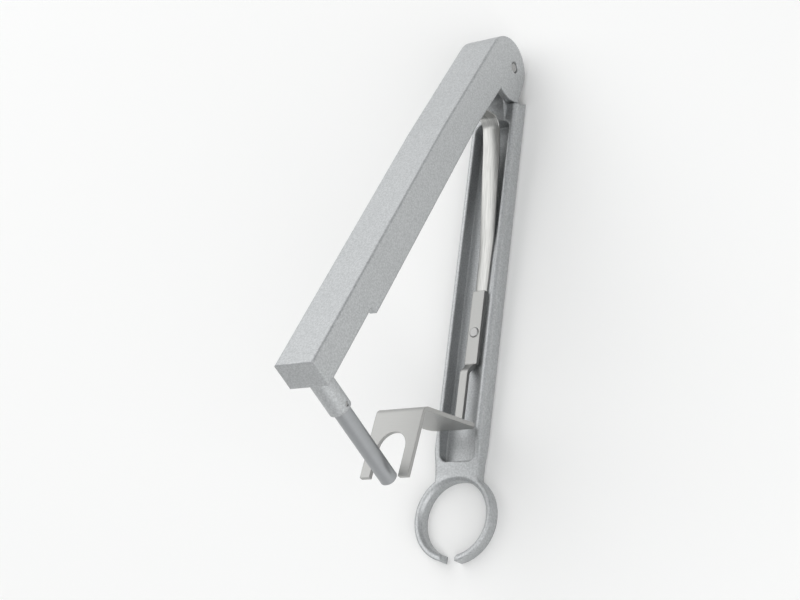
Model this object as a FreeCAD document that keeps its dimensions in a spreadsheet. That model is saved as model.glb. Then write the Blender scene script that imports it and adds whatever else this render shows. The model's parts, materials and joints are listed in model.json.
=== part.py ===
import FreeCAD, Part
import Sketcher
import math
import os

from FreeCAD import Placement, Rotation, Vector

# Cherry pitter with lever: two cast channel arms on a hinge pin. The lower arm ends in a slotted
# ring that holds the cherry and carries a leaf spring and a forked stripper plate. The upper arm
# carries the plunger rod, which swings down between the fork's prongs and through the ring.
# The lower arm lies on its flat back at Z = 0, with +X from the hinge to the ring.

# Driving dimensions, in millimetres and degrees. Lengths along the lower arm and the lever start
# at the hinge pin. Heights of the lower arm's pieces start at its back, those of the lever at the
# pin, with the lever lying level.
DIMENSIONS = {
    # hinge and how far the lever stands open and closes
    "pin_height": 6.9,
    "pin_radius": 1.75,
    "pin_clearance": 0.05,
    "pin_recess": 0.25,
    "open_angle": 26.5,
    "closed_angle": 11.0,
    "overall_rear": 8.28,
    # how far a cutting sketch reaches past the metal
    "overcut": 2.0,
    # lower arm
    "arm_width": 15.6,
    "arm_wall": 1.7,
    "arm_floor": 1.5,
    "shoulder_radius": 11.7,
    "arm_top": 5.9,
    "arm_slope_start": 116.5,
    "arm_narrow_start": 119.5,
    "arm_neck": 124.0,
    "arm_neck_width": 14.8,
    "arm_tip": 130.0,
    "arm_slope_end": 127.4,
    "channel_start": 17.0,
    "channel_end": 123.5,
    "channel_corner": 2.5,
    "tongue_width": 8.2,
    "tongue_radius": 5.2,
    "tongue_rise": 1.2,
    "arm_edge_round": 1.2,
    # ring that holds the cherry
    "cup_centre": 139.6,
    "cup_outer_radius": 12.9,
    "cup_inner_radius": 10.9,
    "cup_height": 3.8,
    "cup_seat": 0.9,
    "cup_slot": 4.9,
    # lever
    "lever_width": 12.8,
    "cheek_gap": 8.4,
    "web": 2.0,
    "lever_top": 13.0,
    "lever_top_bend": 45.0,
    "lobe_centre_along": 2.4,
    "lobe_centre_up": 2.3,
    "lobe_radius": 9.4,
    "lobe_front_radius": 11.0,
    "lobe_nose_angle": 48.5,
    "notch_up": 0.9,
    "lower_edge_bend": 30.0,
    "lower_edge_bend_up": 2.2,
    "lever_step": 110.3,
    "lever_step_low": 1.8,
    "lever_step_high": 4.3,
    "lever_step_run": 0.6,
    "lever_end": 139.7,
    "lever_end_wall": 2.2,
    "lever_edge_round": 0.6,
    # plunger and its socket
    "plunger_along": 135.1,
    "socket_radius": 3.3,
    "socket_foot": 8.3,
    "socket_sink": 0.5,
    "rod_radius": 2.5,
    "rod_top": 9.0,
    "rod_tip": 36.2,
    "tip_bevel": 0.4,
    "tip_hollow_radius": 1.7,
    "tip_hollow_depth": 1.0,
    "dowel_radius": 0.7,
    "dowel_down": 6.9,
    # leaf spring
    "spring_width": 5.9,
    "spring_root_width": 3.6,
    "spring_taper_start": 42.0,
    "spring_taper_end": 68.0,
    "spring_thickness": 0.6,
    "spring_root": 92.0,
    "spring_lift_off": 56.0,
    "spring_waist": 26.0,
    "spring_waist_up": 5.0,
    "spring_heel": 16.4,
    "spring_heel_up": 6.9,
    "spring_head": 17.6,
    "spring_head_up": 25.2,
    "spring_curl_end": 22.6,
    "spring_curl_end_up": 24.2,
    "spring_lift_radius": 60.0,
    "spring_waist_radius": 40.0,
    "spring_bend_radius": 4.0,
    "spring_curl_radius": 1.6,
    # forked stripper plate
    "fork_width": 16.0,
    "sheet": 1.2,
    "tang_width": 4.2,
    "tang_start": 71.0,
    "tang_end": 94.0,
    "neck_start": 97.0,
    "neck_width": 2.6,
    "neck_up": 5.6,
    "riser_foot": 114.3,
    "riser_shoulder_up": 7.2,
    "riser_corner": 3.0,
    "riser_top": 116.9,
    "riser_top_up": 33.3,
    "plate_end": 137.2,
    "plate_end_up": 37.0,
    "sheet_bend_radius": 1.9,
    "fork_slot": 9.6,
    "fork_slot_apex": 123.8,
    # fasteners of the spring and the fork
    "rivet_along": 84.0,
    "rivet_radius": 1.1,
    "rivet_head_radius": 1.6,
    "rivet_head_height": 0.3,
    "rivet_recess": 0.15,
}

document = FreeCAD.newDocument("cherry_pitter")


def make_sheet():
    sheet = document.addObject("Spreadsheet::Sheet", "dims")
    for row, (alias, value) in enumerate(DIMENSIONS.items(), start=1):
        sheet.set("A%d" % row, alias)
        sheet.set("B%d" % row, str(value))
        sheet.setAlias("B%d" % row, alias)
    document.recompute()
    return sheet


dims = make_sheet()


def size(expression):
    """The value of an expression of the sheet's cells, as a plain number."""
    value = dims.evalExpression(expression)
    return float(getattr(value, "Value", value))


def origin_plane(body, role):
    return next(item for item in body.Origin.OriginFeatures if item.Role == role)


def new_body(label):
    body = document.addObject("PartDesign::Body", label)
    body.Label = label
    return body


def new_sketch(body, name, plane_role):
    sketch = body.newObject("Sketcher::SketchObject", name)
    sketch.AttachmentSupport = (origin_plane(body, plane_role), "")
    sketch.MapMode = "FlatFace"
    return sketch


def bind(sketch, kind, geometry, expression):
    """One driving constraint whose size is the expression of the sheet."""
    value = size(expression.replace("dims.", ""))
    index = sketch.addConstraint(Sketcher.Constraint(kind, *geometry, value))
    sketch.setExpression("Constraints[%d]" % index, expression)


ORIGIN = (-1, 1)


def draw_outline(sketch, corners, arcs=None):
    """A closed outline. corners are pairs of expressions. arcs maps an edge's number to the
    expression of its radius and the side its centre is on, +1 for the left of the edge."""
    arcs = arcs or {}
    points = [Vector(size(x), size(y), 0) for x, y in corners]
    count = len(points)
    for number in range(count):
        start = points[number]
        end = points[(number + 1) % count]
        if number in arcs:
            radius, side = arcs[number]
            sketch.addGeometry(arc_between(start, end, size(radius), side), False)
        else:
            sketch.addGeometry(Part.LineSegment(start, end), False)
    for number in range(count):
        following = (number + 1) % count
        sketch.addConstraint(Sketcher.Constraint(
            "Coincident", number, end_of(arcs, number), following, start_of(arcs, following)))
    for number, (x, y) in enumerate(corners):
        place_point(sketch, (number, start_of(arcs, number)), x, y)
    for number, (radius, side) in arcs.items():
        bind(sketch, "Radius", (number,), with_sheet(radius))


def start_of(arcs, number):
    """Which end of the edge's geometry is its start: arcs always run anticlockwise."""
    if number in arcs and arcs[number][1] < 0:
        return 2
    return 1


def end_of(arcs, number):
    return 3 - start_of(arcs, number)


def arc_between(start, end, radius, side):
    """An arc of the given radius from start to end, shorter than half a turn."""
    middle = (start + end) * 0.5
    chord = end - start
    rise = math.sqrt(max(radius ** 2 - (chord.Length / 2) ** 2, 0.0))
    normal = Vector(-chord.y, chord.x, 0).normalize()
    centre = middle + normal * rise * side
    circle = Part.Circle(centre, Vector(0, 0, 1), radius)
    first, second = (start, end) if side > 0 else (end, start)
    angles = [math.atan2(p.y - centre.y, p.x - centre.x) for p in (first, second)]
    return Part.ArcOfCircle(circle, angles[0], angles[1])


def with_sheet(expression):
    """The expression with each alias looked up in the sheet."""
    words = []
    word = ""
    for letter in expression + " ":
        if letter.isalnum() or letter in "_.":
            word += letter
            continue
        words.append("dims." + word if word in DIMENSIONS else word)
        words.append(letter)
        word = ""
    return "".join(words).strip()


def place_point(sketch, point, x, y):
    """Fix a point of the sketch at the expressions x and y, measured from the origin."""
    for kind, expression in (("DistanceX", x), ("DistanceY", y)):
        if size(expression) == 0.0:
            axis = -2 if kind == "DistanceX" else -1
            sketch.addConstraint(Sketcher.Constraint("PointOnObject", *point, axis))
        else:
            bind(sketch, kind, ORIGIN + point, with_sheet(expression))


def draw_circle(sketch, x, y, radius):
    circle = Part.Circle(Vector(size(x), size(y), 0), Vector(0, 0, 1), size(radius))
    number = sketch.addGeometry(circle, False)
    place_point(sketch, (number, 3), x, y)
    bind(sketch, "Radius", (number,), with_sheet(radius))


def draw_path(sketch, corners, radii):
    """An open path of straight runs joined by tangent arcs, for bent sheet and strip. corners are
    pairs of expressions and radii the bend radius at each corner between the first and last."""
    points = [Vector(size(x), size(y), 0) for x, y in corners]
    start = points[0]
    runs = []
    for number, radius in enumerate(radii, start=1):
        corner = points[number]
        before = (points[number - 1] - corner).normalize()
        after = (points[number + 1] - corner).normalize()
        opening = before.getAngle(after)
        reach = radius / math.tan(opening / 2)
        first = corner + before * reach
        last = corner + after * reach
        inward = (before + after).normalize()
        middle = corner + inward * (radius / math.sin(opening / 2) - radius)
        runs.append(Part.LineSegment(start, first))
        runs.append(Part.Arc(first, middle, last))
        start = last
    runs.append(Part.LineSegment(start, points[-1]))
    for run in runs:
        sketch.addGeometry(run, False)


def pad(body, name, sketch, length, midplane=False, reverse=False):
    feature = body.newObject("PartDesign::Pad", name)
    feature.Profile = sketch
    feature.Midplane = midplane
    feature.Reversed = reverse
    feature.setExpression("Length", with_sheet(length))
    document.recompute()
    return feature


def cut(body, name, sketch, length=None, midplane=False, reverse=False):
    """A pocket, through everything where no length is given. It must take material away."""
    before = body.Shape.Volume
    feature = body.newObject("PartDesign::Pocket", name)
    feature.Profile = sketch
    feature.Midplane = midplane
    feature.Reversed = reverse
    if length is None:
        feature.Type = 1
    else:
        feature.setExpression("Length", with_sheet(length))
    document.recompute()
    if not body.Shape.Volume < before - 0.01:
        raise RuntimeError(name + " cuts nothing")
    return feature


def round_edges(body, name, keep, radius):
    """Round the edges of the body's tip that keep(edge) picks."""
    base = body.Tip
    names = ["Edge%d" % number for number, edge in enumerate(base.Shape.Edges, start=1) if keep(edge)]
    feature = body.newObject("PartDesign::Fillet", name)
    feature.Base = (base, names)
    feature.setExpression("Radius", with_sheet(radius))
    document.recompute()
    return feature


def base_arm():
    """The lower arm: a cast channel with a hinge tongue at one end and the cherry's ring at the
    other. Its own X starts at the hinge pin and its Z at the flat back."""
    body = new_body("base_arm")

    plan = new_sketch(body, "arm_plan", "XY_Plane")
    draw_outline(plan, [
        ("0", "-arm_width/2"),
        ("arm_narrow_start", "-arm_width/2"),
        ("arm_neck", "-arm_neck_width/2"),
        ("arm_tip", "-arm_neck_width/2"),
        ("arm_tip", "arm_neck_width/2"),
        ("arm_neck", "arm_neck_width/2"),
        ("arm_narrow_start", "arm_width/2"),
        ("0", "arm_width/2")])
    pad(body, "arm_block", plan, "arm_top")

    round_edges(body, "arm_edges", long_outer_edge, "arm_edge_round")

    # the top edge slopes down to the ring
    slope = new_sketch(body, "arm_slope", "XZ_Plane")
    draw_outline(slope, [
        ("arm_slope_start", "arm_top"),
        ("arm_slope_end", "cup_height"),
        ("arm_tip + overcut", "cup_height"),
        ("arm_tip + overcut", "arm_top + overcut"),
        ("arm_slope_start", "arm_top + overcut")])
    cut(body, "slope_cut", slope, midplane=True)

    # the channel, open upwards, and the hollow shoulder that the lever's lobe turns in
    channel = new_sketch(body, "channel_plan", "XY_Plane")
    channel.AttachmentOffset = Placement(Vector(0, 0, size("arm_floor")), Rotation())
    channel.setExpression("AttachmentOffset.Base.z", "dims.arm_floor")
    half = "arm_width/2 - arm_wall"
    draw_outline(channel, [
        ("channel_start + channel_corner", "-(%s)" % half),
        ("channel_end - channel_corner", "-(%s)" % half),
        ("channel_end", "-(%s) + channel_corner" % half),
        ("channel_end", "%s - channel_corner" % half),
        ("channel_end - channel_corner", half),
        ("channel_start + channel_corner", half),
        ("channel_start", "%s - channel_corner" % half),
        ("channel_start", "-(%s) + channel_corner" % half)],
        {edge: ("channel_corner", 1) for edge in (1, 3, 5, 7)})
    cut(body, "channel", channel, reverse=True)
    shoulder = new_sketch(body, "shoulder_round", "XZ_Plane")
    draw_circle(shoulder, "0", "pin_height", "shoulder_radius")
    cut(body, "shoulder", shoulder, midplane=True)

    # the tongue between the lever's cheeks, with the hinge bore
    tongue = new_sketch(body, "tongue_side", "XZ_Plane")
    draw_outline(tongue, [
        ("0", "pin_height - tongue_radius"),
        ("channel_start", "pin_height - tongue_radius"),
        ("channel_start", "arm_top"),
        ("shoulder_radius", "arm_top + tongue_rise"),
        ("0", "pin_height + tongue_radius"),
        ("-tongue_radius", "pin_height")],
        {4: ("tongue_radius", 1), 5: ("tongue_radius", 1)})
    pad(body, "tongue", tongue, "tongue_width", midplane=True)
    bore = new_sketch(body, "bore_side", "XZ_Plane")
    draw_circle(bore, "0", "pin_height", "pin_radius + pin_clearance")
    cut(body, "hinge_bore", bore, midplane=True)

    # the ring: a short tube with a bevelled seat, open to the front through a narrow slot
    ring = new_sketch(body, "ring_plan", "XY_Plane")
    draw_circle(ring, "cup_centre", "0", "cup_outer_radius")
    pad(body, "ring", ring, "cup_height")
    hole = new_sketch(body, "ring_hole_plan", "XY_Plane")
    draw_circle(hole, "cup_centre", "0", "cup_inner_radius")
    cut(body, "ring_hole", hole, reverse=True)
    seat = new_sketch(body, "seat_section", "XZ_Plane")
    draw_outline(seat, [
        ("cup_centre", "cup_height - cup_seat"),
        ("cup_centre + cup_inner_radius", "cup_height - cup_seat"),
        ("cup_centre + cup_inner_radius + cup_seat", "cup_height"),
        ("cup_centre", "cup_height")])
    before = body.Shape.Volume
    groove = body.newObject("PartDesign::Groove", "ring_seat")
    groove.Profile = seat
    groove.ReferenceAxis = (seat, ["Edge4"])
    groove.Angle = 360.0
    document.recompute()
    if not body.Shape.Volume < before - 0.01:
        raise RuntimeError("ring_seat cuts nothing")
    slot = new_sketch(body, "ring_slot_plan", "XY_Plane")
    draw_outline(slot, [
        ("cup_centre", "-cup_slot/2"),
        ("cup_centre + cup_outer_radius + overcut", "-cup_slot/2"),
        ("cup_centre + cup_outer_radius + overcut", "cup_slot/2"),
        ("cup_centre", "cup_slot/2")])
    cut(body, "ring_slot", slot, reverse=True)

    # hole of the rivet in the floor
    rivet_hole = new_sketch(body, "rivet_hole_plan", "XY_Plane")
    draw_circle(rivet_hole, "rivet_along", "0", "rivet_radius")
    cut(body, "rivet_hole", rivet_hole, reverse=True)
    body.Placement = ON_BACK
    return body


def long_outer_edge(edge):
    """The long straight edges of the lower arm's outer walls, top and bottom."""
    if len(edge.Vertexes) < 2:
        return False
    low, high = edge.Vertexes[0].Point, edge.Vertexes[-1].Point
    along = abs(low.x - high.x)
    outer = min(abs(low.y), abs(high.y)) > size("arm_neck_width/2") - 0.01
    same_side = low.y * high.y > 0
    return along > 1 and outer and same_side


def lever_arm():
    """The upper arm: a channel open downwards, with two cheeks that close round the hinge in a
    lobe, an end wall, and a socket for the plunger. Drawn level, its pin at the origin."""
    body = new_body("lever_arm")
    nose = "lobe_front_radius * cos(lobe_nose_angle)"
    side = new_sketch(body, "lever_side", "XZ_Plane")
    draw_outline(side, [
        ("lobe_centre_along - lobe_radius * sin(closed_angle)",
         "lobe_centre_up - lobe_radius * cos(closed_angle)"),
        (nose, "-lobe_front_radius * sin(lobe_nose_angle)"),
        ("sqrt(lobe_front_radius ^ 2 - notch_up ^ 2)", "notch_up"),
        ("lower_edge_bend", "lower_edge_bend_up"),
        ("lever_step", "lever_step_low"),
        ("lever_step + lever_step_run", "lever_step_high"),
        ("lever_end", "lever_step_high"),
        ("lever_end", "lever_top"),
        ("lever_top_bend", "lever_top"),
        ("lobe_centre_along", "lobe_centre_up + lobe_radius"),
        ("lobe_centre_along - lobe_radius", "lobe_centre_up")],
        {1: ("lobe_front_radius", 1), 9: ("lobe_radius", 1), 10: ("lobe_radius", 1)})
    pad(body, "lever_block", side, "lever_width", midplane=True)
    round_edges(body, "lever_edges", lever_top_edge, "lever_edge_round")

    # the hollow between the cheeks, under the top web and open to the rear of the hinge
    inside = new_sketch(body, "lever_inside", "XZ_Plane")
    draw_outline(inside, [
        ("-lobe_radius", "-lobe_front_radius - overcut"),
        ("lever_end - lever_end_wall", "-lobe_front_radius - overcut"),
        ("lever_end - lever_end_wall", "lever_top - web"),
        ("lever_top_bend", "lever_top - web"),
        ("lobe_centre_along", "lobe_centre_up + lobe_radius - web"),
        ("lobe_centre_along - lobe_radius + web", "lobe_centre_up"),
        ("-lobe_radius", "lobe_centre_up")],
        {4: ("lobe_radius - web", 1)})
    cut(body, "lever_hollow", inside, "cheek_gap", midplane=True)

    # the socket and the holes
    boss = new_sketch(body, "socket_plan", "XY_Plane")
    boss.AttachmentOffset = Placement(Vector(0, 0, -size("socket_foot")), Rotation())
    boss.setExpression("AttachmentOffset.Base.z", "-dims.socket_foot")
    draw_circle(boss, "plunger_along", "0", "socket_radius")
    pad(body, "socket", boss, "socket_foot + lever_top - web + socket_sink")
    bore = new_sketch(body, "socket_bore_plan", "XY_Plane")
    bore.AttachmentOffset = Placement(Vector(0, 0, size("rod_top")), Rotation())
    bore.setExpression("AttachmentOffset.Base.z", "dims.rod_top")
    draw_circle(bore, "plunger_along", "0", "rod_radius")
    cut(body, "socket_bore", bore)
    dowel_hole = new_sketch(body, "dowel_hole_side", "XZ_Plane")
    draw_circle(dowel_hole, "plunger_along", "-dowel_down", "dowel_radius")
    cut(body, "dowel_hole", dowel_hole, midplane=True)
    pin_hole = new_sketch(body, "pin_hole_side", "XZ_Plane")
    draw_circle(pin_hole, "0", "0", "pin_radius")
    cut(body, "pin_hole", pin_hole, midplane=True)
    body.Placement = ON_LEVER
    return body


def lever_top_edge(edge):
    """The outline of the lever's outer faces along its top and round its hinge end."""
    if len(edge.Vertexes) < 2:
        return False
    outer = all(abs(abs(vertex.Point.y) - size("lever_width/2")) < 0.01 for vertex in edge.Vertexes)
    same_side = abs(edge.Vertexes[0].Point.y - edge.Vertexes[-1].Point.y) < 0.01
    high = edge.BoundBox.ZMax > size("lobe_centre_up") + 0.1
    along = edge.BoundBox.XLength > 3
    low_edge = edge.BoundBox.ZMax < size("lever_top") - 1.5 and edge.BoundBox.XMin > 9
    return outer and same_side and high and along and not low_edge


def revolve(label, corners, placement):
    """A turned piece: its half section in X and Z, turned about Z."""
    body = new_body(label)
    section = new_sketch(body, label + "_section", "XZ_Plane")
    draw_outline(section, corners)
    feature = body.newObject("PartDesign::Revolution", label + "_turned")
    feature.Profile = section
    feature.ReferenceAxis = (section, ["V_Axis"])
    feature.Angle = 360.0
    document.recompute()
    body.Placement = placement
    return body


def plunger_rod():
    """The rod pressed into the socket, with a bevelled and slightly hollow tip."""
    body = revolve("plunger_rod", [
        ("0", "-rod_tip + tip_hollow_depth"),
        ("tip_hollow_radius", "-rod_tip"),
        ("rod_radius - tip_bevel", "-rod_tip"),
        ("rod_radius", "-rod_tip + tip_bevel"),
        ("rod_radius", "rod_top"),
        ("0", "rod_top")],
        lever_point("plunger_along", "0"))
    hole = new_sketch(body, "rod_dowel_hole_side", "XZ_Plane")
    draw_circle(hole, "0", "-dowel_down", "dowel_radius")
    cut(body, "rod_dowel_hole", hole, midplane=True)
    return body


def cross_pin(label, radius, width, placement):
    """A plain pin across the object, centred on Y = 0, with bevelled ends."""
    half = "(%s)/2" % width
    bevel = "(%s)/4" % radius
    upright = revolve(label, [
        ("0", "-%s" % half),
        ("%s - %s" % (radius, bevel), "-%s" % half),
        (radius, "-%s + %s" % (half, bevel)),
        (radius, "%s - %s" % (half, bevel)),
        ("%s - %s" % (radius, bevel), half),
        ("0", half)], Placement())
    upright.Placement = placement * Placement(Vector(), Rotation(Vector(1, 0, 0), 90))
    return upright


def rivet():
    """The rivet through the floor, the spring's root and the fork's tang, flush with the back."""
    top = "arm_floor + spring_thickness + sheet"
    return revolve("tang_rivet", [
        ("0", "rivet_recess"),
        ("rivet_radius", "rivet_recess"),
        ("rivet_radius", top),
        ("rivet_head_radius", top),
        ("rivet_head_radius - rivet_head_height", "%s + rivet_head_height" % top),
        ("0", "%s + rivet_head_height" % top)],
        back_point("rivet_along", "0"))


def bent_strip(label, start, width, thickness, height, corners, radii):
    """Flat strip swept along a bent path in the middle plane, starting level at the height."""
    body = new_body(label)
    path = new_sketch(body, label + "_path", "XZ_Plane")
    draw_path(path, corners, radii)
    section = new_sketch(body, label + "_strip", "YZ_Plane")
    section.AttachmentOffset = Placement(Vector(0, 0, size(start)), Rotation())
    section.setExpression("AttachmentOffset.Base.z", with_sheet(start))
    draw_outline(section, [
        ("-%s/2" % width, "%s - %s/2" % (height, thickness)),
        ("%s/2" % width, "%s - %s/2" % (height, thickness)),
        ("%s/2" % width, "%s + %s/2" % (height, thickness)),
        ("-%s/2" % width, "%s + %s/2" % (height, thickness))])
    sweep = body.newObject("PartDesign::AdditivePipe", label + "_sweep")
    sweep.Profile = section
    sweep.Spine = path
    sweep.Mode = "Standard"
    document.recompute()
    return body


def leaf_spring():
    """A steel strip: its root lies on the channel's floor, its free half rises, bends up into the
    lever's hollow and ends in a curl under the lever's web."""
    height = "arm_floor + spring_thickness/2"
    body = bent_strip("leaf_spring", "spring_root", "spring_width", "spring_thickness", height, [
        ("spring_root", height),
        ("spring_lift_off", height),
        ("spring_waist", "spring_waist_up"),
        ("spring_heel", "spring_heel_up"),
        ("spring_head", "spring_head_up"),
        ("spring_curl_end", "spring_curl_end_up")],
        [size(name) for name in ("spring_lift_radius", "spring_waist_radius", "spring_bend_radius",
                                 "spring_curl_radius")])
    # the root half is narrower, with a long taper on both sides
    for side, sign in (("near", ""), ("far", "-")):
        taper = new_sketch(body, "spring_trim_" + side, "XY_Plane")
        draw_outline(taper, [
            ("spring_taper_start", "%sspring_width/2" % sign),
            ("spring_taper_end", "%sspring_root_width/2" % sign),
            ("spring_root + overcut", "%sspring_root_width/2" % sign),
            ("spring_root + overcut", "%sspring_width" % sign),
            ("spring_taper_start", "%sspring_width" % sign)])
        cut(body, "spring_side_" + side, taper, reverse=True)
    hole = new_sketch(body, "spring_hole_plan", "XY_Plane")
    draw_circle(hole, "rivet_along", "0", "rivet_radius")
    cut(body, "spring_hole", hole, reverse=True)
    body.Placement = ON_BACK
    return body


def stripper_fork():
    """Bent sheet: a tang on the spring's root, a narrow neck, a riser and a forked plate."""
    tang_height = "arm_floor + spring_thickness + sheet/2"
    bend = size("sheet_bend_radius")
    body = bent_strip("stripper_fork", "tang_start", "fork_width", "sheet", tang_height, [
        ("tang_start", tang_height),
        ("tang_end", tang_height),
        ("neck_start", "neck_up"),
        ("riser_foot", "neck_up"),
        ("riser_top", "riser_top_up"),
        ("plate_end", "plate_end_up")],
        [bend, bend, bend, bend])

    # the tang and the neck are narrower than the riser, whose lower corners are round
    for side, sign in (("near", ""), ("far", "-")):
        tang = new_sketch(body, "tang_trim_" + side, "XY_Plane")
        draw_outline(tang, [
            ("tang_start - overcut", "%stang_width/2" % sign),
            ("tang_end", "%stang_width/2" % sign),
            ("tang_end", "%sfork_width" % sign),
            ("tang_start - overcut", "%sfork_width" % sign)])
        cut(body, "tang_side_" + side, tang, reverse=True)
        neck = new_sketch(body, "neck_trim_" + side, "YZ_Plane")
        neck.AttachmentOffset = Placement(Vector(0, 0, size("tang_end")), Rotation())
        neck.setExpression("AttachmentOffset.Base.z", "dims.tang_end")
        draw_outline(neck, [
            ("%sneck_width/2" % sign, "0"),
            ("%sneck_width/2" % sign, "riser_shoulder_up"),
            ("%s(fork_width/2 - riser_corner)" % sign, "riser_shoulder_up"),
            ("%sfork_width/2" % sign, "riser_shoulder_up + riser_corner"),
            ("%sfork_width" % sign, "riser_shoulder_up + riser_corner"),
            ("%sfork_width" % sign, "0")],
            {2: ("riser_corner", 1 if side == "near" else -1)})
        cut(body, "neck_side_" + side, neck, reverse=True)

    slot = new_sketch(body, "fork_slot_plan", "XY_Plane")
    straight = "fork_slot_apex + fork_slot/2"
    draw_outline(slot, [
        (straight, "-fork_slot/2"),
        ("plate_end + overcut", "-fork_slot/2"),
        ("plate_end + overcut", "fork_slot/2"),
        (straight, "fork_slot/2"),
        ("fork_slot_apex", "0")],
        {3: ("fork_slot/2", 1), 4: ("fork_slot/2", 1)})
    cut(body, "fork_slot_cut", slot, reverse=True)
    hole = new_sketch(body, "tang_hole_plan", "XY_Plane")
    draw_circle(hole, "rivet_along", "0", "rivet_radius")
    cut(body, "tang_hole", hole, reverse=True)
    body.Placement = ON_BACK
    return body


# Where the pieces stand. The lower arm's pieces share one frame on its back, the lever's pieces
# one frame on the hinge pin, turned up by the open angle. The whole is centred along X.
RING_FRONT = "cup_centre + sqrt(cup_outer_radius ^ 2 - (cup_slot / 2) ^ 2)"
PIN_X = -(size(RING_FRONT) - size("overall_rear")) / 2
ON_BACK = Placement(Vector(PIN_X, 0, 0), Rotation())
ON_PIN = Placement(Vector(PIN_X, 0, size("pin_height")), Rotation())
ON_LEVER = ON_PIN * Placement(Vector(), Rotation(Vector(0, 1, 0), -size("open_angle")))


def lever_point(along, up):
    return ON_LEVER * Placement(Vector(size(along), 0, size(up)), Rotation())


def back_point(along, up):
    return ON_BACK * Placement(Vector(size(along), 0, size(up)), Rotation())


pieces = [
    base_arm(),
    lever_arm(),
    plunger_rod(),
    cross_pin("plunger_dowel", "dowel_radius", "socket_radius*2 - 2*pin_recess",
              lever_point("plunger_along", "-dowel_down")),
    cross_pin("hinge_pin", "pin_radius", "lever_width - 2*pin_recess", lever_point("0", "0")),
    leaf_spring(),
    stripper_fork(),
    rivet(),
]
document.recompute()

for item in document.Objects:
    if "Invalid" in item.State or "Error" in item.State:
        raise RuntimeError(item.Name + " is in state " + str(item.State))
for piece in pieces:
    if piece.Shape.isNull() or not piece.Shape.isValid() or not piece.Shape.Solids:
        raise RuntimeError(piece.Label + " has no sound shape")

os.makedirs("parts", exist_ok=True)
for piece in pieces:
    piece.Shape.exportStep("parts/" + piece.Label + ".step")
    box = piece.Shape.BoundBox
    print("%s: %d solid, %.1f mm3, X %.2f to %.2f, Y %.2f to %.2f, Z %.2f to %.2f" % (
        piece.Label, len(piece.Shape.Solids), piece.Shape.Volume,
        box.XMin, box.XMax, box.YMin, box.YMax, box.ZMin, box.ZMax))
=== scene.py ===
"""Cherry pitter with lever: its finishes, its bent leaf spring and a studio stage for it.

Lengths in the settings are metres. Places along the lower arm start at the hinge pin, and heights
at the arm's flat back, as in the CAD part.
"""

import json
import math

import bmesh
import bpy
from bpy.props import FloatProperty, FloatVectorProperty, PointerProperty
from mathutils import Matrix, Vector


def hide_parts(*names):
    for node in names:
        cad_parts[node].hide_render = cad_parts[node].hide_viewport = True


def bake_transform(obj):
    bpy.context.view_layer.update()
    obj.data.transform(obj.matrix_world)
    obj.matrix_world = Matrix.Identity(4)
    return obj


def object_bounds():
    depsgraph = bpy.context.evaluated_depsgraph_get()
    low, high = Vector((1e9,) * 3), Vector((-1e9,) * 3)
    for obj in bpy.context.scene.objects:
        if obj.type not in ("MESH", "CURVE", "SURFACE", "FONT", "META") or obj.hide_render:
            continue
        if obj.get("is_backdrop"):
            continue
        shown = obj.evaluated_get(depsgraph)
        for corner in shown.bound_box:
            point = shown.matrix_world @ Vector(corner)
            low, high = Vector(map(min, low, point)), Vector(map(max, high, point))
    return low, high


bl_info = {
    "name": "Cherry pitter",
    "version": (1, 0, 0),
    "blender": (4, 5, 0),
    "location": "View3D > Sidebar > Pitter",
    "description": "Metal finishes, the bent leaf spring and the stage of a cherry pitter",
    "category": "Object",
}

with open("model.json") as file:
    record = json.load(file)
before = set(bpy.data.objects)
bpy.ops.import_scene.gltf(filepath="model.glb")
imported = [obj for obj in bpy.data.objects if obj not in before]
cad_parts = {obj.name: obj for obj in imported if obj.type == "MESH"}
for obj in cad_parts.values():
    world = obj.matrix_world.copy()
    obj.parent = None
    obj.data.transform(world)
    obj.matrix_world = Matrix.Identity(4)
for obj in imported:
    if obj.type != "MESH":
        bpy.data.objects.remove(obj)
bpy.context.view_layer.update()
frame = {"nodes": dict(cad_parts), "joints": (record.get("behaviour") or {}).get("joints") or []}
MM = 0.001
PIN = Vector(frame["joints"][0]["pos_m"])
# how far the lever stands open from the lower arm
LEVER_OPEN = math.radians(26.5)


def linear(hex_colour):
    """An sRGB hex colour as linear red, green, blue."""
    values = [int(hex_colour[i:i + 2], 16) / 255 for i in (0, 2, 4)]
    return tuple(v / 12.92 if v <= 0.04045 else ((v + 0.055) / 1.055) ** 2.4 for v in values)


def length(name, description, default, **limits):
    """A length that a user can set, in metres."""
    return FloatProperty(name=name, description=description, default=default, subtype="DISTANCE",
                         unit="LENGTH", precision=5, **limits)


def colour(name, description, hex_colour):
    """A colour that a user can set."""
    return FloatVectorProperty(name=name, description=description, default=linear(hex_colour),
                               subtype="COLOR", size=3, min=0.0, max=1.0)


# settings

class PitterSpringSizes(bpy.types.PropertyGroup):
    """Sizes of the bent leaf spring, along its middle line."""
    width: length("Width", "Width of the strip above the taper", 5.9 * MM, min=1 * MM)
    root_width: length("Root width", "Width of the strip under the fork's tang", 3.6 * MM, min=1 * MM)
    thickness: length("Thickness", "Thickness of the strip", 0.6 * MM, min=0.1 * MM)
    root: length("Root", "Where the strip ends under the fork's tang", 92.0 * MM)
    taper_end: length("Taper end", "Where the strip reaches its root width", 68.0 * MM)
    taper_start: length("Taper start", "Where the strip starts to narrow", 42.0 * MM)
    floor: length("Floor", "Height of the channel's floor", 1.5 * MM)


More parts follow.
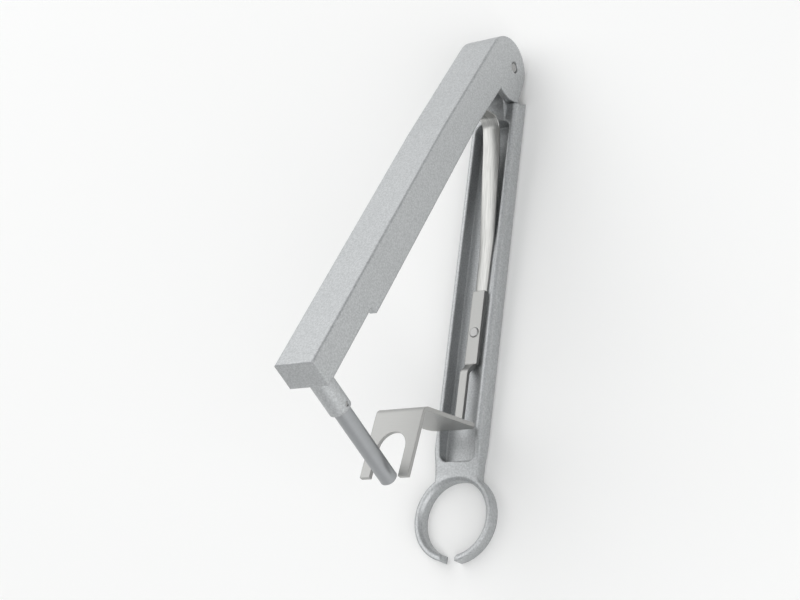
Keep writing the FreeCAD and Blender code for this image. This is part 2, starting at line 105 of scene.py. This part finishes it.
class PitterFinishColours(bpy.types.PropertyGroup):
    """Colours of the bare metals."""
    cast_light: colour("Cast, light", "Lighter grains of the cast aluminium", "C7C9CA")
    cast_dark: colour("Cast, dark", "Darker grains of the cast aluminium", "B1B3B4")
    rod: colour("Rod", "Turned aluminium of the plunger", "A8AAAC")
    sheet: colour("Sheet", "Rolled stainless sheet of the fork", "B0B0AE")
    strip: colour("Strip", "Bright spring strip", "D2D2CF")
    pin: colour("Pin", "Ground steel of the pins", "AEAEAD")


class PitterStageSettings(bpy.types.PropertyGroup):
    """The floor and the camera."""
    floor_colour: colour("Floor", "Pale studio floor", "F9F9F8")
    floor_size: length("Floor size", "Side of the square floor", 6.0, min=0.5)
    camera_distance: length("Camera distance", "From the tool to the camera", 0.5, min=0.2)
    frame_width: length("Frame width", "Width of the picture at the tool", 0.224, min=0.05)


# shared helpers

def node(tree, kind, settings=None, links=None):
    """Adds a shader node with its settings and the links that run into it."""
    made = tree.nodes.new(kind)
    for name, value in (settings or {}).items():
        if name in made.inputs:
            made.inputs[name].default_value = value
        else:
            setattr(made, name, value)
    for name, source in (links or {}).items():
        tree.links.new(source, made.inputs[name])
    return made


def rgba(values):
    """A colour setting as a shader socket takes it."""
    return (values[0], values[1], values[2], 1.0)


def new_material(name, metallic=1.0):
    """A material with only its shader and output; returns it with its node tree and shader."""
    material = bpy.data.materials.new(name)
    material.use_nodes = True
    tree = material.node_tree
    tree.nodes.clear()
    shader = node(tree, "ShaderNodeBsdfPrincipled", {"Metallic": metallic})
    node(tree, "ShaderNodeOutputMaterial", links={"Surface": shader.outputs[0]})
    return material, tree, shader


def paint(material, *objects):
    """Gives each object this one material."""
    for obj in objects:
        obj.data.materials.clear()
        obj.data.materials.append(material)


def clear_selection():
    """Leaves edit mode and deselects every object."""
    if bpy.context.object and bpy.context.object.mode != "OBJECT":
        bpy.ops.object.mode_set(mode="OBJECT")
    bpy.ops.object.select_all(action="DESELECT")


def make_active(obj):
    """Selects one object alone."""
    clear_selection()
    obj.select_set(True)
    bpy.context.view_layer.objects.active = obj


# finishes

# the colour sockets of a Mix node, whose names its number sockets have too
MIX_FIRST, MIX_SECOND, MIX_RESULT = 6, 7, 2
# where nearly all values of a noise pattern lie
NOISE_SPAN = {"From Min": 0.3, "From Max": 0.7}
EDGE_SAMPLES = 6

# the real grain is about 0.2 mm; drawn at 0.5 mm so that it shows
CAST_GRAIN = 0.5 * MM
CAST_GRAIN_SPAN = {"From Min": 0.34, "From Max": 0.66}
CAST_CLOUD = 20 * MM
CAST_ROUGHNESS = (0.46, 0.54)
# tumbling takes the sharpness off every edge
CAST_EDGE = 0.9 * MM

# the real lines are about 0.05 mm apart; drawn at 0.3 mm so that they show
LINE_SPACING = 0.3 * MM
LINE_ROUGHNESS = 0.03
# edges are deburred, so each catches a thin line of light
DEBURRED_EDGE = 0.3 * MM


def vary_roughness(tree, shader, pattern, least, most):
    """Lets the roughness follow a noise pattern."""
    rough = node(tree, "ShaderNodeMapRange", {**NOISE_SPAN, "To Min": least, "To Max": most},
                 {"Value": pattern})
    tree.links.new(rough.outputs["Result"], shader.inputs["Roughness"])


def relief(tree, shader, pattern, edge, strength, height):
    """Rounds the edges in the shading and lets a pattern stand out of the surface."""
    soft = node(tree, "ShaderNodeBevel", {"samples": EDGE_SAMPLES, "Radius": edge})
    bump = node(tree, "ShaderNodeBump", {"Strength": strength, "Distance": height},
                {"Height": pattern, "Normal": soft.outputs["Normal"]})
    tree.links.new(bump.outputs["Normal"], shader.inputs["Normal"])


def cast_aluminium(colours):
    """Die-cast aluminium, tumbled and left bare: a matt, finely grained skin that sparkles a
    little, with soft cloudy patches where the die ran hotter."""
    material, tree, shader = new_material("cast_aluminium_tumbled")
    place = node(tree, "ShaderNodeTexCoord").outputs["Object"]
    grain = node(tree, "ShaderNodeTexNoise",
                 {"Scale": 1 / CAST_GRAIN, "Detail": 2.0, "Roughness": 0.6}, {"Vector": place})
    cloud = node(tree, "ShaderNodeTexNoise", {"Scale": 1 / CAST_CLOUD, "Detail": 2.0},
                 {"Vector": place})
    speck = node(tree, "ShaderNodeMapRange", CAST_GRAIN_SPAN, {"Value": grain.outputs["Fac"]})
    mix = node(tree, "ShaderNodeMix", {"data_type": "RGBA"}, {"Factor": speck.outputs["Result"]})
    mix.inputs[MIX_FIRST].default_value = rgba(colours.cast_dark)
    mix.inputs[MIX_SECOND].default_value = rgba(colours.cast_light)
    tree.links.new(mix.outputs[MIX_RESULT], shader.inputs["Base Color"])
    vary_roughness(tree, shader, cloud.outputs["Fac"], *CAST_ROUGHNESS)
    relief(tree, shader, grain.outputs["Fac"], edge=CAST_EDGE, strength=0.26, height=0.05 * MM)
    return material


def worked_metal(name, base, roughness, along, tilt=0.0, contrast=0.06):
    """Metal with the fine lines that turning, rolling or grinding leaves. The lines run along the
    axes that have a small share in along; tilt turns them about the Y axis, in radians, and
    contrast is how much darker than base the darkest line is."""
    material, tree, shader = new_material(name)
    place = node(tree, "ShaderNodeTexCoord").outputs["Object"]
    level = node(tree, "ShaderNodeMapping", {"Rotation": (0.0, tilt, 0.0)}, {"Vector": place})
    drawn = node(tree, "ShaderNodeMapping", {"Scale": along}, {"Vector": level.outputs["Vector"]})
    lines = node(tree, "ShaderNodeTexNoise", {"Scale": 1 / LINE_SPACING, "Detail": 2.0},
                 {"Vector": drawn.outputs["Vector"]}).outputs["Fac"]
    shade = node(tree, "ShaderNodeMapRange",
                 {**NOISE_SPAN, "To Min": 1.0 - contrast, "To Max": 1.0}, {"Value": lines})
    tint = node(tree, "ShaderNodeVectorMath", {"operation": "SCALE"},
                {"Scale": shade.outputs["Result"]})
    tint.inputs[0].default_value = base
    tree.links.new(tint.outputs["Vector"], shader.inputs["Base Color"])
    vary_roughness(tree, shader, lines, roughness - LINE_ROUGHNESS, roughness + LINE_ROUGHNESS)
    relief(tree, shader, lines, edge=DEBURRED_EDGE, strength=0.1, height=0.02 * MM)
    return material


class PITTER_OT_cast_finish(bpy.types.Operator):
    """Cover the two cast arms with tumbled aluminium"""
    bl_idname = "pitter.cast_finish"
    bl_label = "Cast arms"

    def execute(self, context):
        material = cast_aluminium(context.scene.pitter_colours)
        paint(material, frame["nodes"]["base_arm"], frame["nodes"]["lever_arm"])
        return {"FINISHED"}


class PITTER_OT_steel_finish(bpy.types.Operator):
    """Cover the rod, the fork and the pins with their metals"""
    bl_idname = "pitter.steel_finish"
    bl_label = "Rod, fork and pins"

    def execute(self, context):
        colours = context.scene.pitter_colours
        nodes = frame["nodes"]
        # fine rings round the rod, which stands square to the open lever
        rod = worked_metal("turned_aluminium_rod", colours.rod, roughness=0.42,
                           along=(0.08, 0.08, 1.0), tilt=LEVER_OPEN)
        paint(rod, nodes["plunger_rod"])
        # lines across the fork's strip of sheet, and along the two pins
        sheet = worked_metal("rolled_stainless_sheet", colours.sheet, roughness=0.46,
                             along=(1.0, 0.06, 1.0))
        paint(sheet, nodes["stripper_fork"])
        pin = worked_metal("ground_steel_pin", colours.pin, roughness=0.42, along=(1.0, 0.1, 1.0))
        paint(pin, nodes["hinge_pin"], nodes["plunger_dowel"], nodes["tang_rivet"])
        return {"FINISHED"}


# leaf spring

# where the strip's straight runs would meet after its root, as (along, up) in mm, with None on the
# channel's floor, and the bend at each corner but the last, as (radius in mm, facets): the lift
# off the floor, the slow bend, the heel and the curl
SPRING_CORNERS = ((56.0, None), (26.0, 5.0), (16.4, 6.9), (17.6, 25.2), (22.6, 24.2))
SPRING_BENDS = ((60.0, 6), (40.0, 6), (4.0, 10), (1.6, 8))
# a shorter run than this adds no facet of its own
SHORTEST_RUN = 0.05 * MM
# the side of the flat square that the strip is drawn out of
ROOT_SQUARE = 1 * MM
# the round of the strip's rolled edges, its steps, and the sharpness from which a corner gets it
ROLLED_EDGE = 0.12 * MM
ROLLED_STEPS = 2
ROLLED_FROM = math.radians(50)
# facets that meet at a smaller angle are shaded as one curve
SMOOTH_UNDER = math.radians(30)


def spring_line(sizes):
    """The strip's middle line from its root to its curl, as (along, up) pairs in metres, with its
    bends in short runs."""
    level = sizes.floor + sizes.thickness / 2
    corners = [Vector((sizes.root, level))]
    for along, up in SPRING_CORNERS:
        corners.append(Vector((along * MM, level if up is None else up * MM)))
    points = [corners[0]]
    for (radius, facets), last_corner, corner, next_corner in zip(
            SPRING_BENDS, corners, corners[1:], corners[2:]):
        before = (last_corner - corner).normalized()
        after = (next_corner - corner).normalized()
        half = before.angle(after) / 2
        reach = radius * MM / math.tan(half)
        centre = corner + (before + after).normalized() * (radius * MM / math.sin(half))
        first = corner + before * reach - centre
        turn = first.angle_signed(corner + after * reach - centre)
        for step in range(facets + 1):
            points.append(centre + Matrix.Rotation(-turn * step / facets, 2) @ first)
    points.append(corners[-1])
    return points


def strip_width(sizes, along):
    """The strip's width at a place along the lower arm: it narrows evenly towards its root."""
    share = (along - sizes.taper_start) / (sizes.taper_end - sizes.taper_start)
    share = min(1.0, max(0.0, share))
    return sizes.width + (sizes.root_width - sizes.width) * share


def bent_sheet(name, sizes):
    """The strip's middle surface: a flat square at its root, whose front edge is drawn out along
    the bent line, run by run."""
    points = spring_line(sizes)
    root = points[0]
    square_middle = PIN.x + root.x - ROOT_SQUARE / 2
    clear_selection()
    bpy.ops.mesh.primitive_plane_add(size=ROOT_SQUARE, location=(square_middle, 0, root.y))
    sheet = bpy.context.object
    sheet.name = sheet.data.name = name
    bpy.ops.object.transform_apply(location=True, rotation=True, scale=True)
    bpy.ops.object.mode_set(mode="EDIT")
    bpy.ops.mesh.select_all(action="SELECT")
    bpy.ops.transform.resize(value=(1, sizes.root_width / ROOT_SQUARE, 1))
    bpy.ops.mesh.select_all(action="DESELECT")
    mesh = bmesh.from_edit_mesh(sheet.data)
    for vert in mesh.verts:
        vert.select = vert.co.x < square_middle
    mesh.select_flush(True)
    bmesh.update_edit_mesh(sheet.data)
    place = Vector((root.x - ROOT_SQUARE, root.y))
    width = sizes.root_width
    for point in points[1:]:
        move = point - place
        if move.length < SHORTEST_RUN:
            continue
        wanted = strip_width(sizes, point.x)
        bpy.ops.mesh.extrude_region_move(TRANSFORM_OT_translate={"value": (move.x, 0, move.y)})
        bpy.ops.transform.resize(value=(1, wanted / width, 1))
        place, width = point, wanted
    bpy.ops.mesh.select_all(action="SELECT")
    bpy.ops.mesh.normals_make_consistent(inside=False)
    bpy.ops.object.mode_set(mode="OBJECT")
    return sheet


def thicken(sheet, thickness):
    """Turns the middle surface into a strip with rolled edges."""
    thick = sheet.modifiers.new("Thickness", "SOLIDIFY")
    thick.thickness = thickness
    thick.offset = 0.0
    thick.use_even_offset = True
    rolled = sheet.modifiers.new("Rolled edge", "BEVEL")
    rolled.width = ROLLED_EDGE
    rolled.segments = ROLLED_STEPS
    rolled.limit_method = "ANGLE"
    rolled.angle_limit = ROLLED_FROM
    for modifier in ("Thickness", "Rolled edge"):
        bpy.ops.object.modifier_apply(modifier=modifier)
    make_active(sheet)
    bpy.ops.object.shade_smooth_by_angle(angle=SMOOTH_UNDER)


class PITTER_OT_leaf_spring(bpy.types.Operator):
    """Bend the leaf spring out of one flat strip"""
    bl_idname = "pitter.leaf_spring"
    bl_label = "Leaf spring"

    def execute(self, context):
        sizes = context.scene.pitter_spring
        spring = bent_sheet("leaf_spring_strip", sizes)
        thicken(spring, sizes.thickness)
        # rolling leaves clear streaks along a bright strip
        strip = worked_metal("spring_strip_bright", context.scene.pitter_colours.strip,
                             roughness=0.36, along=(0.05, 1.0, 0.05), contrast=0.3)
        paint(strip, spring)
        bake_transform(spring)
        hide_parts("leaf_spring")
        return {"FINISHED"}


# stage

PAPER_ROUGHNESS = 0.9

# from the tool to the camera, and the picture's upward direction
VIEW_BACK = Vector((0.3315, 0.58, 0.7441))
VIEW_UP = Vector((-0.9356, 0.1006, 0.3384))
# the place that stands in the middle of the picture
VIEW_AIM = Vector((0.0136, -0.0029, 0.0366))
# the camera's sensor in mm, and the nearest and farthest that it sees in metres
SENSOR_WIDTH = 36
NEAREST = 0.05
FARTHEST = 20

# the soft lights: name, place from the tool's middle, side of the square, watts
LIGHTS = (
    ("key_light", (-0.35, -0.55, 0.95), 1.6, 8.5),
    ("back_light", (-1.15, -0.85, 0.35), 1.3, 2.6),
    ("fill_light", (0.55, 0.8, 0.5), 0.8, 5.0),
)
AIR_COLOUR = (0.98, 0.99, 1.0, 1.0)
AIR_STRENGTH = 0.5


def lay_floor(settings):
    """A square of pale paper under the tool."""
    clear_selection()
    bpy.ops.mesh.primitive_plane_add(size=settings.floor_size, location=(0, 0, 0))
    floor = bpy.context.object
    floor.name = "stage_floor"
    material, _, shader = new_material("studio_paper_floor", metallic=0.0)
    shader.inputs["Roughness"].default_value = PAPER_ROUGHNESS
    shader.inputs["Base Color"].default_value = rgba(settings.floor_colour)
    paint(material, floor)
    floor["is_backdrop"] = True


def set_camera(scene, settings):
    """The camera, turned and framed as the view asks."""
    back = VIEW_BACK.normalized()
    up = (VIEW_UP - back * VIEW_UP.dot(back)).normalized()
    right = up.cross(back)
    data = bpy.data.cameras.new("photo_camera")
    data.sensor_width = SENSOR_WIDTH
    data.lens = SENSOR_WIDTH * settings.camera_distance / settings.frame_width
    data.clip_start = NEAREST
    data.clip_end = FARTHEST
    camera = bpy.data.objects.new("photo_camera", data)
    scene.collection.objects.link(camera)
    turn = Matrix((right, up, back)).transposed().to_4x4()
    camera.matrix_world = Matrix.Translation(VIEW_AIM + back * settings.camera_distance) @ turn
    scene.camera = camera


def area_light(scene, name, place, target, size, power):
    """A square soft light that faces its target."""
    data = bpy.data.lights.new(name, "AREA")
    data.shape = "SQUARE"
    data.size = size
    data.energy = power
    light = bpy.data.objects.new(name, data)
    scene.collection.objects.link(light)
    light.location = place
    light.rotation_euler = (target - place).to_track_quat("-Z", "Y").to_euler()


def light_air(scene):
    """An even, faintly cool light from all round."""
    world = bpy.data.worlds.new("studio_air")
    world.use_nodes = True
    air = world.node_tree.nodes["Background"]
    air.inputs["Color"].default_value = AIR_COLOUR
    air.inputs["Strength"].default_value = AIR_STRENGTH
    scene.world = world


class PITTER_OT_stage(bpy.types.Operator):
    """Lay the pale floor and set the soft lights and the camera"""
    bl_idname = "pitter.stage"
    bl_label = "Floor, lights and camera"

    def execute(self, context):
        scene = context.scene
        lowest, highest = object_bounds()
        middle = (lowest + highest) / 2
        lay_floor(scene.pitter_stage)
        set_camera(scene, scene.pitter_stage)
        for name, offset, size, power in LIGHTS:
            area_light(scene, name, middle + Vector(offset), middle, size, power)
        light_air(scene)
        scene.view_settings.view_transform = "Standard"
        return {"FINISHED"}


# sidebar

class PITTER_PT_sidebar(bpy.types.Panel):
    """The pitter's steps and settings"""
    bl_idname = "PITTER_PT_sidebar"
    bl_label = "Cherry pitter"
    bl_space_type = "VIEW_3D"
    bl_region_type = "UI"
    bl_category = "Pitter"

    def draw(self, context):
        layout = self.layout
        for operator in OPERATORS:
            layout.operator(operator.bl_idname)
        for name in SETTINGS:
            box = layout.box()
            group = getattr(context.scene, name)
            for prop in group.__annotations__:
                box.prop(group, prop)


OPERATORS = (PITTER_OT_cast_finish, PITTER_OT_steel_finish, PITTER_OT_leaf_spring, PITTER_OT_stage)
SETTINGS = {
    "pitter_spring": PitterSpringSizes,
    "pitter_colours": PitterFinishColours,
    "pitter_stage": PitterStageSettings,
}
CLASSES = (*SETTINGS.values(), *OPERATORS, PITTER_PT_sidebar)


def register():
    for item in CLASSES:
        bpy.utils.register_class(item)
    for name, group in SETTINGS.items():
        setattr(bpy.types.Scene, name, PointerProperty(type=group))


def unregister():
    for name in SETTINGS:
        delattr(bpy.types.Scene, name)
    for item in reversed(CLASSES):
        bpy.utils.unregister_class(item)


def main():
    register()
    bpy.ops.pitter.cast_finish()
    bpy.ops.pitter.steel_finish()
    bpy.ops.pitter.leaf_spring()
    bpy.ops.pitter.stage()


if __name__ == "__main__":
    main()
